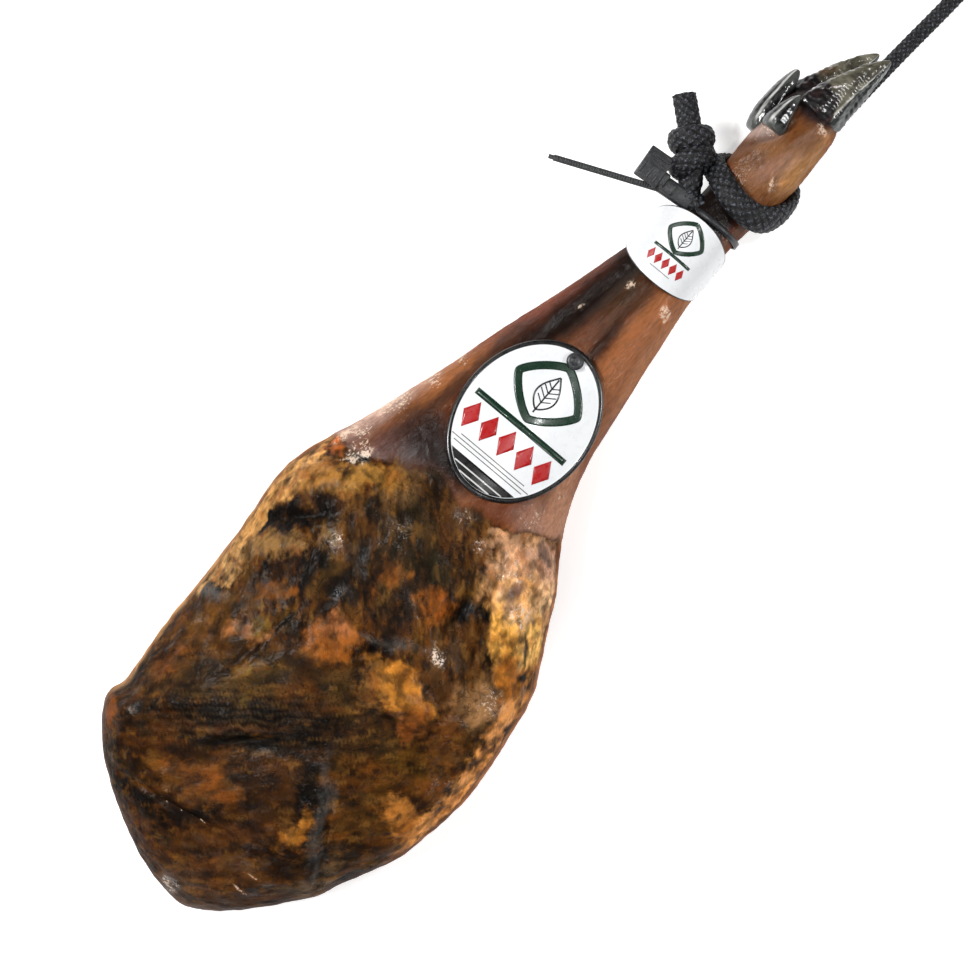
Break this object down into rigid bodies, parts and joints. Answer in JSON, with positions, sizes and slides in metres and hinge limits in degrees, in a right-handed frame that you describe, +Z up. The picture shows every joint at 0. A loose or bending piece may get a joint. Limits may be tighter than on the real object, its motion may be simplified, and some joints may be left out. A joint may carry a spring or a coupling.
{
  "type": "whole dry-cured ham with hoof",
  "caption": "Whole dry-cured ham on the bone with its hoof, lying on its flat side, with a black braided tie and hanging cord, a plastic seal, a paper band and an oval label.",
  "frame": {"origin": "middle of the flat resting spot under the body of the ham, on the table", "axes": "+X from the butt to the hoof, +Y to the side where the tie is knotted, +Z up, out of the cut face that shows"},
  "size_m": [1.011, 0.2638, 0.1228],
  "materials": {
    "cured_meat": "oily dry-cured skin, fat and meat",
    "horn": "dark horn, smooth on the walls and ridged on the sole",
    "braid": "black braided polyester",
    "seal_plastic": "moulded, satin",
    "printed_paper": null,
    "label_card": null
  },
  "bodies": {
    "root": {"ham": "cured_meat", "claw_upper": "horn", "claw_lower": "horn", "dewclaw_upper": "horn", "dewclaw_lower": "horn", "tie_rope": "braid", "hanging_cord": "braid", "eye_lashing": "braid", "seal": "seal_plastic", "paper_band": "printed_paper", "oval_label": "label_card", "label_button": "seal_plastic"}
  },
  "joints": []
}
